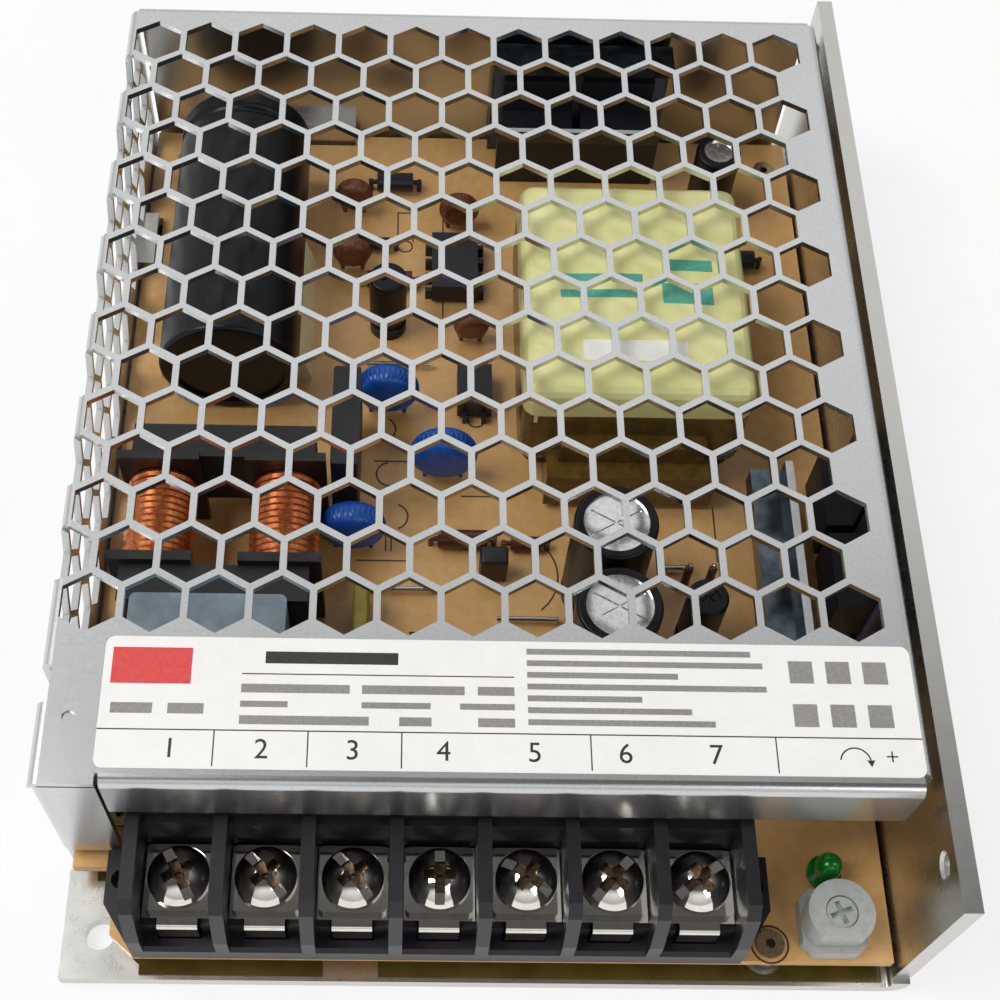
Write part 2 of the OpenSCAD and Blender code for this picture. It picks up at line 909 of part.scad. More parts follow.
module bridge_rectifier() {
    color("#1a1a1c") {
        translate([bridge_at.x, bridge_at.y, deck + 3])
            linear_extrude(10.6)
                rounded_square([3.5, 14.5], 0.5);
        for (i = [-1.5 : 1.5])
            lead([bridge_at.x, bridge_at.y + i * 3.8], deck + 3 + tiny, 0.9);
    }
}

module y_capacitors() {
    color("royalblue") {
        disc_part([-12.4, 10.4], 8, 3.6, 1.4);
        disc_part([-16.4, -10.4], 8, 3.6, 1.4);
        disc_part([-5, 0.4], 8.4, 3.8, 1.4);
    }
}

// ---------- primary side ----------

// Sleeved can lying along Y, crimped near its rear end
module bulk_capacitor() {
    r = bulk_d / 2;
    color("#18181c")
        translate([bulk_at.x, bulk_at.y + bulk_l / 2, deck + r])
            rotate([90, 0, 0])
                rotate_extrude()
                    difference() {
                        union() {
                            square_from([0, 0.6], [r, bulk_l - 0.6]);
                            square_from([0, 0], [r - 0.6, bulk_l]);
                            translate([r - 0.6, 0.6])
                                circle(0.6);
                            translate([r - 0.6, bulk_l - 0.6])
                                circle(0.6);
                        }
                        translate([r + 0.4, 3.2])
                            circle(1);
                        square_from([-1, bulk_l - 0.4], [r - 1.6, bulk_l + 1]);
                    }
}

// Glue that holds the bulk capacitor to the board, on both sides
module glue_bead() {
    r = bulk_d / 2;
    color("lemonchiffon")
        for (s = [-1, 1])
            translate([bulk_at.x, 0, deck])
                along_y(bulk_at.y - bulk_l / 2 + 5, bulk_at.y + (s > 0 ? 4 : -4))
                    difference() {
                        polygon([[s * 3, 0], [s * (r + 1.2), 0], [s * (r + 0.9), 1.6], [s * (r - 0.1), r * 0.62],
                            [s * (r - 2), r * 0.62], [s * 3, 1.2]]);
                        translate([0, r])
                            circle(r);
                    }
}

// Flat power package: moulded body in front, metal tab behind, three legs
module power_package() {
    block([-package_w / 2, -package_t, package_foot], [package_w / 2, 0, package_h - 5.8]);
    block([-package_w / 2, -1.3, package_h - 5.8 - tiny], [package_w / 2, 0, package_h]);
    for (sx = [-1, 0, 1])
        block([sx * 2.54 - 0.4, -2.9, 0], [sx * 2.54 + 0.4, -2.4, package_foot + tiny]);
}

sink_back = board_rear - 0.4;
sink_front = sink_back - sink_t;

module rear_heatsink() {
    color("silver")
        difference() {
            union() {
                block([1.5, sink_front, deck], [26.5, sink_back, deck + 19.5]);
                block([1.5, sink_front - 3, deck + 18], [26.5, sink_front + tiny, deck + 19.5]);
            }
            for (x = transistor_places)
                translate([x, sink_back + 1, deck + package_h - 2.6])
                    rotate([90, 0, 0])
                        cylinder(d = 3, h = sink_t + 2);
        }
}

module primary_transistors() {
    color("#222226")
        for (x = transistor_places)
            translate([x, sink_front - pad_t, deck])
                power_package();
}

// Spring strip that presses both packages against the heatsink
module transistor_clip() {
    front = sink_front - pad_t - package_t;
    color("gainsboro")
        along_x(2.5, 25.5)
            polygon([[front, deck + 4.2], [front, deck + 8.4], [front - 0.8, deck + 8.4], [front - 1.6, deck + 11.2],
                [front - 2.3, deck + 11.2], [front - 1.6, deck + 8.2], [front - 1.6, deck + 0], [front - 0.8, deck],
                [front - 0.8, deck + 4.2]]);
}

module controller_chip() {
    color("#202020")
        translate([-3.4, 33.4, deck])
            union() {
                block([-3.2, -4.8, 0.5], [3.2, 4.8, 3.8]);
                for (sx = [-1, 1], i = [-1.5 : 1.5])
                    block([sx * 3.6 - 0.5, i * 2.54 - 0.3, 0], [sx * 3.6 + 0.5, i * 2.54 + 0.3, 1.9]);
            }
}

// ---------- transformer ----------

tape_t = 0.6;
bobbin_rail = 4.4;
transformer_foot = 3.2;

module transformer_core() {
    w = transformer_w - 2 * tape_t;
    l = transformer_l - 2 * tape_t;
    color("#3a3a36")
        translate([transformer_at.x, transformer_at.y, deck + transformer_foot])
            linear_extrude(transformer_h - transformer_foot - tape_t)
                rounded_square([w, l], 2.2);
}

// Yellow tape over the core and its windings, closed on top
module transformer_tape() {
    color("khaki")
        translate([transformer_at.x, transformer_at.y, deck])
            difference() {
                union() {
                    translate([0, 0, transformer_foot + 1])
                        linear_extrude(transformer_h - transformer_foot - 2)
                            rounded_square([transformer_w, transformer_l], 2.8);
                    translate([0, 0, transformer_h - 1 - tiny])
                        linear_extrude(0.6 + tiny)
                            rounded_square([transformer_w - 0.8, transformer_l - 0.8], 2.4);
                    translate([0, 0, transformer_h - 0.4 - tiny])
                        linear_extrude(0.4 + tiny)
                            rounded_square([transformer_w - 2, transformer_l - 2], 1.8);
                }
                linear_extrude(transformer_h - tape_t)
                    rounded_square([transformer_w - 2 * tape_t, transformer_l - 2 * tape_t], 2.2);
            }
}

// Stepped rails front and rear, with the pins moulded in, joined by the base
module transformer_bobbin() {
    w = transformer_w - 7;
    l = transformer_l / 2;
    color("#3b3420")
        translate([transformer_at.x, transformer_at.y, deck])
            union() {
                block([-w / 2, -l - bobbin_rail, 1], [w / 2, l + bobbin_rail, transformer_foot]);
                for (s = [-1, 1]) {
                    block([-w / 2, s > 0 ? l : -l - bobbin_rail, transformer_foot - tiny],
                        [w / 2, s > 0 ? l + bobbin_rail : -l, 7.6]);
                    block([-w / 2 + 1.5, s > 0 ? l : -l - 2, 7.6 - tiny],
                        [w / 2 - 1.5, s > 0 ? l + 2 : -l, 11]);
                    for (i = [-3 : 3])
                        translate([i * 3, s * (l + bobbin_rail - 1.2), 0])
                            cylinder(d = 0.9, h = 1 + tiny, $fn = 16);
                }
            }
}

module optocoupler() {
    color("#202020")
        translate([-0.8, 12.6, deck])
            union() {
                block([-2.3, -3.2, 0.5], [2.3, 3.2, 3.6]);
                for (sx = [-1, 1], i = [-0.5, 0.5])
                    block([i * 2.54 - 0.3, sx * 3.6 - 0.5, 0], [i * 2.54 + 0.3, sx * 3.6 + 0.5, 1.8]);
            }
}

// ---------- output side ----------

wall_pad_x = wall_inner - pad_t;

module output_rectifiers() {
    color("#2a2a30")
        for (y = rectifier_places)
            translate([wall_pad_x, y, deck])
                rotate(90)
                    rectifier_body();
}

// The same package facing the side wall: its tab touches the thermal pad at x = 0
module rectifier_body() {
    block([-package_w / 2, 0, package_foot + 1], [package_w / 2, package_t, package_h - 4.5]);
    block([-package_w / 2, 0, package_h - 4.5 - tiny], [package_w / 2, 1.3, package_h + 1]);
    for (sx = [-1, 0, 1])
        block([sx * 2.54 - 0.4, 2.4, 0], [sx * 2.54 + 0.4, 2.9, package_foot + 1 + tiny]);
}

module thermal_pads() {
    color("lightgray") {
        block([wall_pad_x, rectifier_places[1] - 6, deck + 2],
            [wall_inner, rectifier_places[0] + 6, deck + package_h + 2]);
        block([2, sink_front - pad_t, deck + 1.5],
            [26, sink_front, deck + package_h + 1]);
    }
}

// Channel that spreads heat beside the rectifiers, standing on the board
module rectifier_bar() {
    x0 = wall_inner - 12.6;
    color("lightslategray")
        along_y(rectifier_places[1] - 13, rectifier_places[0] + 5)
            union() {
                square_from([x0, deck + 6.4], [x0 + 5, deck + 7.4]);
                square_from([x0 + 4, deck], [x0 + 5, deck + 9.6]);
                square_from([x0, deck + 4.4], [x0 + 1, deck + 6.5]);
            }
}

// Standing can: sleeve, crimp groove and a scored top set below the sleeve's rim
module standing_can(at, d, h, score = true) {
    r = d / 2;
    translate([at.x, at.y, deck])
        difference() {
            rotate_extrude()
                difference() {
                    union() {
                        square_from([0, 0], [r, h - 0.4]);
                        square_from([0, 0], [r - 0.4, h]);
                        translate([r - 0.4, h - 0.4])
                            circle(0.4);
                    }
                    translate([r + 0.3, 2.2])
                        circle(0.7);
                    square_from([-1, h - 0.3], [r - 1.1, h + 1]);
                }
            if (score)
                for (a = [30, 90, 150])
                    rotate(a)
                        block([-r + 1.6, -0.12, h - 0.5], [r - 1.6, 0.12, h + 1]);
        }
}

module output_capacitors() {
    color("dimgray")
        for (at = output_cap_places)
            standing_can(at, output_cap_d, output_cap_h);
}

module small_capacitors() {
    color("darkslategray") {
        standing_can([33.6, 47.8], 6.3, 11);
        standing_can([26.4, -22.6], 5, 11);
        standing_can([-12.6, 24.5], 5, 11);
    }
}

// Wound drum standing on the board, hidden under the label
module output_choke() {
    color("peru")
        translate([3, cover_front + 11.5, deck])
            rotate_extrude()
                union() {
                    square_from([0, 0], [4.2, 12]);
                    square_from([0, 0], [5.6, 1.4]);
                    square_from([0, 10.6], [5.6, 12]);
                    square_from([0, 1.3], [5, 10.7]);
                }
}

// ---------- small parts ----------

module signal_diodes() {
    color("#2b2b2b") {
        axial_part([-12, 49.2], 2.7, 5.2, 0.3);
        axial_part([-14.5, 38], 1.9, 3.8, 0.3);
        axial_part([36.5, 36], 2.7, 5.2, 0.3);
    }
}

module film_resistors() {
    color("tan") {
        axial_part([-12.5, 31.5], 2.4, 6.3, 0.3);
        axial_part([-2.5, -10], 2.4, 6.3, 0.3);
        axial_part([-6, -24.5], 2.4, 6.3, 0.3);
        axial_part([5.6, -10.4], 1.9, 3.8, 0.3);
    }
}

module ceramic_capacitors() {
    color("saddlebrown") {
        disc_part([-17.8, 45], 5, 2.6, 1.2);
        disc_part([-17.8, 34.6], 5, 2.6, 1.2);
        disc_part([-2.8, 42.4], 5.4, 2.6, 1.2);
        disc_part([-1.2, 22.4], 4.6, 2.4, 1.2);
    }
}

// A bare wire bridge along X: two feet and the run between them
module wire_bridge(at, l) {
    d = 0.7;
    for (sx = [-1, 1])
        lead([at.x + sx * l / 2, at.y], deck + 1, 0.6);
    translate([at.x - l / 2 - d / 2, at.y, deck + 1])
        rotate([0, 90, 0])
            cylinder(d = d, h = l + d, $fn = 16);
}

module jumper_wires() {
    color("silver") {
        wire_bridge([5.6, -21], 7);
        wire_bridge([-11, 17.4], 8);
        wire_bridge([-10.6, -17], 9);
        wire_bridge([24.8, -13.4], 2.9);
    }
}

base_chassis();
board_standoffs();
mesh_cover();
cover_screws();
front_label();
insulation_film();
circuit_board();
board_rivets();
terminal_housing();
terminal_contacts();
clamp_plate(0);  // clamp_plate_1
clamp_plate(1);  // clamp_plate_2
clamp_plate(2);  // clamp_plate_3
clamp_plate(3);  // clamp_plate_4
clamp_plate(4);  // clamp_plate_5
clamp_plate(5);  // clamp_plate_6
clamp_plate(6);  // clamp_plate_7
terminal_screw(0);  // terminal_screw_1
terminal_screw(1);  // terminal_screw_2
terminal_screw(2);  // terminal_screw_3
terminal_screw(3);  // terminal_screw_4
terminal_screw(4);  // terminal_screw_5
terminal_screw(5);  // terminal_screw_6
terminal_screw(6);  // terminal_screw_7
power_led();
trimmer_base();
trimmer_rotor();
input_fuse();
inrush_thermistor();
surge_varistor();
x_capacitor();
choke_core();
choke_bobbin();
choke_coils();
bridge_rectifier();
y_capacitors();
bulk_capacitor();
glue_bead();
primary_transistors();
transistor_clip();
rear_heatsink();
controller_chip();
transformer_core();
transformer_bobbin();
transformer_tape();
optocoupler();
output_rectifiers();
thermal_pads();
rectifier_bar();
output_capacitors();
output_choke();
small_capacitors();
signal_diodes();
film_resistors();
ceramic_capacitors();
jumper_wires();
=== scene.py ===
"""Looks of an enclosed switching power supply with a folded cover punched with hexagons.

The CAD nodes keep their shape and get their finish here. The print on the label, the board and the
transformer and a few small parts on the board are modelled on top of them.
Lengths are in metres; MM turns millimetres into metres. +X right, +Y to the rear, +Z up.
"""
import math

import bpy
from mathutils import Matrix, Vector


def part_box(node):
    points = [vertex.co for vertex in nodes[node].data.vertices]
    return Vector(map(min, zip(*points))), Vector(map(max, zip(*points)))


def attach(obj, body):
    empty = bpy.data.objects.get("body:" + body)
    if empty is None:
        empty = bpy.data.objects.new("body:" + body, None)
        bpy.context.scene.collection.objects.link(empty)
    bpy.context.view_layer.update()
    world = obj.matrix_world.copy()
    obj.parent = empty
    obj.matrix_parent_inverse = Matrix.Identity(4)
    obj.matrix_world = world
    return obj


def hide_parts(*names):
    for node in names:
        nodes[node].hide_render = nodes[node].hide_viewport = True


MM = 0.001

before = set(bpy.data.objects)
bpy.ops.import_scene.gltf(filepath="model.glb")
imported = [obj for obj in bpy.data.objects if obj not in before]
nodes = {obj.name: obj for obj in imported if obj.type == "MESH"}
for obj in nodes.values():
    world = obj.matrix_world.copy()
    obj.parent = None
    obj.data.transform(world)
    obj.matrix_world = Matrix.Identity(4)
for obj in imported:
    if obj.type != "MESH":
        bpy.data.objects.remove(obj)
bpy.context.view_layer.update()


# ---------- materials ----------

def linear(code):
    """An sRGB hex colour as linear red, green, blue and alpha."""
    parts = [int(code[i:i + 2], 16) / 255 for i in (1, 3, 5)]
    return [p / 12.92 if p <= 0.04045 else ((p + 0.055) / 1.055) ** 2.4 for p in parts] + [1.0]


def add_node(tree, kind, links=None, **settings):
    """Adds a shader node. links gives each input a value or another node's output."""
    node = tree.nodes.new("ShaderNode" + kind)
    for name, value in settings.items():
        setattr(node, name, value)
    for socket, value in (links or {}).items():
        if isinstance(value, bpy.types.NodeSocket):
            tree.links.new(value, node.inputs[socket])
        else:
            node.inputs[socket].default_value = value
    return node


def start_material(name):
    """An empty material with a Principled shader. Returns the material, its tree, shader and place."""
    material = bpy.data.materials.new(name)
    material.use_nodes = True
    tree = material.node_tree
    shader = tree.nodes["Principled BSDF"]
    place = add_node(tree, "TexCoord").outputs["Object"]
    return material, tree, shader, place


def two_tone(tree, factor, dark, pale, low=0.35, high=0.65):
    """Colours from dark to pale as factor goes from low to high."""
    ramp = add_node(tree, "ValToRGB", {"Fac": factor})
    ramp.color_ramp.elements[0].position = low
    ramp.color_ramp.elements[0].color = linear(dark)
    ramp.color_ramp.elements[1].position = high
    ramp.color_ramp.elements[1].color = linear(pale)
    return ramp.outputs["Color"]


def grained(name, dark, pale, grain, roughness, metallic=0.0, bump=0.0, stretch=(1, 1, 1), **shine):
    """A finish whose colour, gloss and relief vary over a grain of the given size in mm."""
    material, tree, shader, place = start_material(name)
    mapped = add_node(tree, "Mapping", {"Vector": place, "Scale": stretch}).outputs["Vector"]
    fine = add_node(tree, "TexNoise", {"Vector": mapped, "Scale": 1 / (grain * MM), "Detail": 3.0,
                                       "Roughness": 0.6}).outputs["Fac"]
    broad = add_node(tree, "TexNoise", {"Vector": place, "Scale": 1 / (14 * MM),
                                        "Detail": 2.0}).outputs["Fac"]
    blend = add_node(tree, "Mix", {0: 0.35, 2: fine, 3: broad}).outputs[0]
    tree.links.new(two_tone(tree, blend, dark, pale), shader.inputs["Base Color"])
    gloss = add_node(tree, "MapRange", {"Value": fine, "From Min": 0.3, "From Max": 0.7,
                                        "To Min": roughness * 0.95, "To Max": roughness * 1.05})
    tree.links.new(gloss.outputs["Result"], shader.inputs["Roughness"])
    shader.inputs["Metallic"].default_value = metallic
    for socket, value in shine.items():
        shader.inputs[socket.replace("_", " ")].default_value = value
    if bump:
        relief = add_node(tree, "Bump", {"Height": fine, "Distance": bump * MM, "Strength": 0.6})
        tree.links.new(relief.outputs["Normal"], shader.inputs["Normal"])
    return material


# Hot-dip galvanised sheet steel: zinc grey, satin, with a fine spangle
galvanised_steel = grained("galvanised_sheet_steel", "#cacccc", "#d6d8d8", 0.3, 0.26, 1.0)
# Rolled aluminium sheet: paler and smoother than zinc, with hardly any grain
rolled_aluminium = grained("rolled_aluminium_sheet", "#c9c7c2", "#cfcdc8", 2.0, 0.28, 1.0)
# Nickel-plated steel: bright and slightly warm
nickel_plate = grained("nickel_plated_steel", "#dcd7ce", "#efeae2", 1.5, 0.07, 1.0)
# Zinc-plated steel of the small cover screws: bright grey
zinc_plate = grained("zinc_plated_steel", "#b9bbbd", "#dfe1e3", 0.8, 0.25, 1.0)
# Tinned copper: leads and wires, soft silver
tinned_copper = grained("tinned_copper_wire", "#d8d6d0", "#e6e4de", 2.0, 0.22, 1.0)
# Bright top faces: on the steel clip partly the bare sheared edge of the strip and partly painted highlight;
# on the rectifier bar painted highlight alone. Bright and scattering
cut_edge_and_painted_highlight = grained("bright_cut_edge_and_painted_highlight", "#e2e4e8", "#f4f5f7", 0.5, 0.5, 0.5)
# Polyester label film, matt white
label_film = grained("white_polyester_label", "#f0efeb", "#f6f5f1", 2.5, 0.45)
# Glass-filled PBT of the terminal block: black, smooth from the mould, edges catch light
black_pbt = grained("black_moulded_pbt", "#100d12", "#1b181e", 0.7, 0.38, 0, 0.006)
# Phenolic paper laminate of the board: even orange tan under a clear lacquer
phenolic_paper = grained("phenolic_paper_laminate", "#dba866", "#e8b97a", 1.6, 0.3, 0, 0.002)
# Polyester film between board and case: olive, glossy, seen through
insulating_film = grained("olive_polyester_film", "#3a3112", "#5c5020", 6, 0.14)
# Diffused green epoxy of the lamp
green_epoxy = grained("green_diffused_epoxy", "#035f17", "#0b8a2a", 1, 0.15)
# Natural nylon of the trimmer's housing: pale grey, waxy
grey_nylon = grained("pale_grey_nylon", "#a4a8a4", "#b9bdb8", 0.8, 0.35, 0, 0.004, Subsurface_Weight=0.35,
                     Subsurface_Scale=0.0012)
# Ferrite: sintered, dark grey, nearly matt
ferrite = grained("sintered_ferrite", "#101012", "#1d1d20", 0.3, 0.45, 0, 0.01)
# Phenolic bobbin of the wound parts: black-brown, satin
bobbin_phenolic = grained("black_phenolic_bobbin", "#121012", "#1f1c1c", 0.8, 0.35, 0, 0.01)
# Polyester tape round the transformer: pale yellow, slick, faint creases along the turns
yellow_tape = grained("yellow_polyester_tape", "#d9d690", "#e8e5a8", 3.5, 0.2, 0, 0.03, (0.5, 1, 1))
# Heat-shrunk PVC sleeve of the capacitors: black with a wide sheen
pvc_sleeve = grained("black_pvc_sleeve", "#06070b", "#0f1117", 1.0, 0.34, 0, 0.004, Specular_IOR_Level=0.3)
# Enamelled copper winding wire: red-brown under a clear lacquer
enamelled_copper = grained("enamelled_copper_wire", "#a24c28", "#d8854e", 0.6, 0.28, 0.8)
# Polypropylene box of the line capacitor: grey-blue, matt
grey_blue_box = grained("grey_blue_polypropylene", "#74858f", "#8b9ba5", 2.0, 0.42, 0, 0.01)
# Epoxy dip of the disc capacitors: bright blue, thick and glossy
blue_epoxy = grained("blue_epoxy_dip", "#0d47a0", "#1f63c0", 1.4, 0.3, 0, 0.015)
# Epoxy moulding of the semiconductors: charcoal, fine matt grain
epoxy_moulding = grained("charcoal_epoxy_moulding", "#131418", "#202229", 0.35, 0.4, 0, 0.01)
# Hot-melt glue: creamy, soft-edged and waxy
hot_glue = grained("cream_hot_glue", "#e6dfae", "#f0ebcb", 2.5, 0.3, 0, 0.05)
# Ceramic: brown disc capacitors and the thermistor
brown_ceramic = grained("brown_dipped_ceramic", "#5a2f1c", "#8a5233", 0.9, 0.35, 0, 0.03)
dark_ceramic = grained("dark_dipped_ceramic", "#26301f", "#414c33", 0.9, 0.35, 0, 0.03)
# Silicone pad: purple-grey, slightly tacky
silicone_pad = grained("grey_silicone_pad", "#4c4e5c", "#5f6170", 0.5, 0.5, 0, 0.01)
# Polyester tape seen through on the windings below: dark olive, glossy. Partly the windings' own colour,
# partly painted shade on the lower sides of the wrap
olive_tape_and_painted_shade = grained("olive_tape_over_windings_and_painted_shade", "#4a3a16", "#6e5624", 1.6, 0.2, 0, 0.02)
# Anodised aluminium of the two heatsinks: blue-grey, mottled by thermal grease
anodised_bar = grained("blue_grey_anodised_aluminium", "#3a444b", "#66747c", 1.6, 0.16, 0.9, 0.006)
# Drawn aluminium of the can tops: bright and slightly brushed
can_aluminium = grained("drawn_aluminium_can_top", "#cfd0d0", "#eceded", 0.6, 0.2, 1.0, 0.01)
# Spring steel strip, blackened; the bright line along its top edge is painted highlight, given below
blackened_steel = grained("blackened_spring_steel", "#14151b", "#22242b", 0.8, 0.25, 0.2)
# Sleeve and moulded body of the fuse
fuse_sleeve = grained("brown_fuse_body", "#5c3218", "#7d4a2a", 0.7, 0.35, 0, 0.01)
# Lacquered body of the resistors: dark red-brown, glossy
resistor_lacquer = grained("red_brown_resistor_lacquer", "#41231a", "#643829", 0.5, 0.25, 0, 0.02)
# Glass and cathode band of the diodes: black
diode_body = grained("black_diode_body", "#15151a", "#2c2c33", 0.4, 0.3)
# Rivet: brass-coloured plated steel
brass_rivet = grained("brass_plated_rivet", "#947f61", "#b8a07c", 0.6, 0.28, 1.0)

# Screen ink: black, red, grey and teal on labels, brown on the board. Dense and slightly uneven
black_ink = grained("black_screen_ink", "#2a2626", "#3a3635", 0.4, 0.4)
grey_ink = grained("grey_screen_ink", "#85827e", "#9b9894", 0.4, 0.4)
red_ink = grained("red_screen_ink", "#d5403f", "#e2504c", 0.6, 0.4)
teal_ink = grained("teal_screen_ink", "#3f9a85", "#5bb09c", 0.5, 0.4)
brown_ink = grained("brown_board_ink", "#3d2c1d", "#57422d", 0.4, 0.45)
# Nickel in the bottom of a driver slot, darker and brown: painted shade in the recess
slot_painted_shade = grained("nickel_in_the_slot_painted_shade", "#4e3c2c", "#8d7a64", 0.5, 0.25, 0.9)
# Yellow polyester film capacitor: dull mustard
mustard_film = grained("mustard_film_capacitor", "#7f7423", "#9c9036", 1.0, 0.35, 0, 0.02)
# White paper sticker on the transformer
white_paper = grained("white_paper_sticker", "#e4e3dc", "#f1f0ea", 1.5, 0.5)

finishes = {
    "base_chassis": rolled_aluminium, "board_standoffs": rolled_aluminium,
    "mesh_cover": galvanised_steel, "cover_screws": zinc_plate, "front_label": label_film,
    "insulation_film": insulating_film, "circuit_board": phenolic_paper, "board_rivets": brass_rivet,
    "terminal_housing": black_pbt, "terminal_contacts": nickel_plate, "power_led": green_epoxy,
    "trimmer_base": grey_nylon, "trimmer_rotor": grey_nylon, "input_fuse": fuse_sleeve,
    "inrush_thermistor": dark_ceramic, "surge_varistor": blue_epoxy, "x_capacitor": grey_blue_box,
    "choke_core": ferrite, "choke_bobbin": bobbin_phenolic, "choke_coils": enamelled_copper,
    "bridge_rectifier": epoxy_moulding, "y_capacitors": blue_epoxy, "bulk_capacitor": pvc_sleeve,
    "glue_bead": hot_glue, "primary_transistors": epoxy_moulding, "transistor_clip": blackened_steel,
    "rear_heatsink": anodised_bar, "controller_chip": epoxy_moulding, "transformer_core": ferrite,
    "transformer_bobbin": olive_tape_and_painted_shade, "transformer_tape": yellow_tape,
    "optocoupler": epoxy_moulding, "output_rectifiers": epoxy_moulding, "thermal_pads": silicone_pad,
    "rectifier_bar": anodised_bar, "output_capacitors": pvc_sleeve, "output_choke": ferrite,
    "small_capacitors": pvc_sleeve, "signal_diodes": diode_body, "film_resistors": resistor_lacquer,
    "ceramic_capacitors": brown_ceramic, "jumper_wires": tinned_copper,
}
for number in range(1, 8):
    finishes["clamp_plate_%d" % number] = nickel_plate
    finishes["terminal_screw_%d" % number] = nickel_plate
for node_name, finish in finishes.items():
    mesh = nodes[node_name].data
    mesh.materials.clear()
    mesh.materials.append(finish)


def face_finish(node_name, finish, wanted):
    """Gives a second finish to the faces of a node whose middle, in mm, passes the test."""
    mesh = nodes[node_name].data
    mesh.materials.append(finish)
    for face in mesh.polygons:
        if wanted(face.center / MM):
            face.material_index = len(mesh.materials) - 1


# ---------- places, in mm, from the frame ----------

label_low, label_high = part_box("front_label")
label_z = label_high.z / MM
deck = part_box("circuit_board")[1].z / MM
screw_boxes = [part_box("terminal_screw_%d" % number) for number in range(1, 8)]
screw_middles = [(low + high) / 2 / MM for low, high in screw_boxes]
screw_top = screw_boxes[0][1].z / MM
# Upright cans with a bare top: their radius, and the low (0) or high (1) corner of the box where each stands
can_tops = {"output_capacitors": (5, (0, 1)), "small_capacitors": (3.15, (1,))}

for node_name, (radius, corners) in can_tops.items():
    box = [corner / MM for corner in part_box(node_name)]
    places = [box[i] + (1 - 2 * i) * Vector((radius, radius, 0)) for i in corners]
    face_finish(node_name, can_aluminium, lambda c: c.z > box[1].z - 0.9 and min(
        math.hypot(c.x - at.x, c.y - at.y) for at in places) < radius - 1.0)
# Painted shade: the cross recess of each screw head takes the darker brown nickel
for number, at in enumerate(screw_middles, 1):
    face_finish("terminal_screw_%d" % number, slot_painted_shade, lambda c: (
        screw_top - 2.6 < c.z < screw_top - 0.5 and math.hypot(c.x - at.x, c.y - at.y) < 1.85))
# Painted highlight: the top faces of the clip and of the rectifier bar are made bright where their top edges
# catch the light; on the clip this is partly its bare cut edge
face_finish("transistor_clip", cut_edge_and_painted_highlight, lambda c: c.z > deck + 11.1)
face_finish("rectifier_bar", cut_edge_and_painted_highlight, lambda c: c.z > deck + 9.5)


# ---------- ways of making a piece ----------

def deselect():
    """Leaves nothing selected, so that an operator acts on the new part alone."""
    bpy.ops.object.select_all(action="DESELECT")


def settle(parts, name, finish):
    """Makes one piece of the parts, with its place in its mesh and its finish. It rides on the case."""
    deselect()
    for part in parts:
        part.select_set(True)
    bpy.context.view_layer.objects.active = parts[0]
    if len(parts) > 1:
        bpy.ops.object.join()
    piece = bpy.context.object
    bpy.ops.object.transform_apply(location=True, rotation=True, scale=True)
    piece.name = piece.data.name = name
    piece.data.materials.clear()
    piece.data.materials.append(finish)
    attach(piece, "case")
    return piece


def apply_modifier(piece, kind, **settings):
    """Puts a modifier on a piece with its settings and applies it."""
    modifier = piece.modifiers.new(kind.lower(), kind)
    for name, value in settings.items():
        setattr(modifier, name, value)
    bpy.context.view_layer.objects.active = piece
    bpy.ops.object.modifier_apply(modifier=modifier.name)


def print_on(parts, name, ink, thickness):
    """One print of flat, upward-facing parts, standing on the surface below it by its thickness."""
    apply_modifier(settle(parts, name, ink), "SOLIDIFY", thickness=thickness * MM, offset=1)


def bar(low, high, z):
    """A flat printed bar from its lowest corner to its highest, in mm."""
    deselect()
    middle = ((low[0] + high[0]) / 2 * MM, (low[1] + high[1]) / 2 * MM, z * MM)
    bpy.ops.mesh.primitive_plane_add(size=1, location=middle)
    part = bpy.context.object
    part.scale = ((high[0] - low[0]) * MM, (high[1] - low[1]) * MM, 1)
    return part


def ring(at, radius, width, z, start=0, sweep=360):
    """A flat printed ring or arc, as wide as the line: a short edge on the radius, spun about the middle."""
    middle = Vector((at[0], at[1], z)) * MM
    deselect()
    bpy.ops.mesh.primitive_plane_add(size=width * MM, location=middle + Vector((radius, width / 2, 0)) * MM)
    part = bpy.context.object
    bpy.ops.object.transform_apply(location=True, rotation=True, scale=True)
    bpy.ops.object.mode_set(mode="EDIT")
    bpy.ops.mesh.select_all(action="DESELECT")
    bpy.ops.object.mode_set(mode="OBJECT")
    for vertex in part.data.vertices:
        vertex.select = vertex.co.y > middle.y + width / 2 * MM
    bpy.ops.object.mode_set(mode="EDIT")
    bpy.ops.mesh.delete(type="VERT")
    bpy.ops.mesh.select_all(action="SELECT")
    bpy.ops.mesh.spin(steps=max(6, round(sweep / 10)), angle=-math.radians(sweep), center=middle,
                      axis=(0, 0, 1))
    bpy.ops.mesh.select_all(action="SELECT")
    bpy.ops.mesh.remove_doubles(threshold=0.001 * MM)
    bpy.ops.mesh.select_all(action="SELECT")
    bpy.ops.mesh.normals_make_consistent(inside=False)
    bpy.ops.object.mode_set(mode="OBJECT")
    if part.data.polygons and part.data.polygons[0].normal.z < 0:
        bpy.ops.object.mode_set(mode="EDIT")
        bpy.ops.mesh.select_all(action="SELECT")
        bpy.ops.mesh.flip_normals()
        bpy.ops.object.mode_set(mode="OBJECT")
    turn = Matrix.Rotation(math.radians(start), 4, "Z")
    part.data.transform(Matrix.Translation(middle) @ turn @ Matrix.Translation(-middle))
    return part


def arrow_head(tip, size, z):
    """A flat printed arrow head that points toward -Y, with its tip one size below the place."""
    deselect()
    bpy.ops.mesh.primitive_circle_add(vertices=3, radius=size * MM, fill_type="NGON",
                                      location=(tip[0] * MM, tip[1] * MM, z * MM))
    part = bpy.context.object
    part.rotation_euler.z = math.pi
    return part


def numeral(value, at, height, z):
    """A plain printed number, centred on a place."""
    deselect()
    bpy.ops.object.text_add(location=(at[0] * MM, at[1] * MM, z * MM))
    part = bpy.context.object
    part.data.body = str(value)
    part.data.size = height * 1.42 * MM  # a digit stands 0.7 of the font's size
    part.data.align_x = "CENTER"
    part.data.align_y = "CENTER"
    bpy.ops.object.convert(target="MESH")
    return bpy.context.object


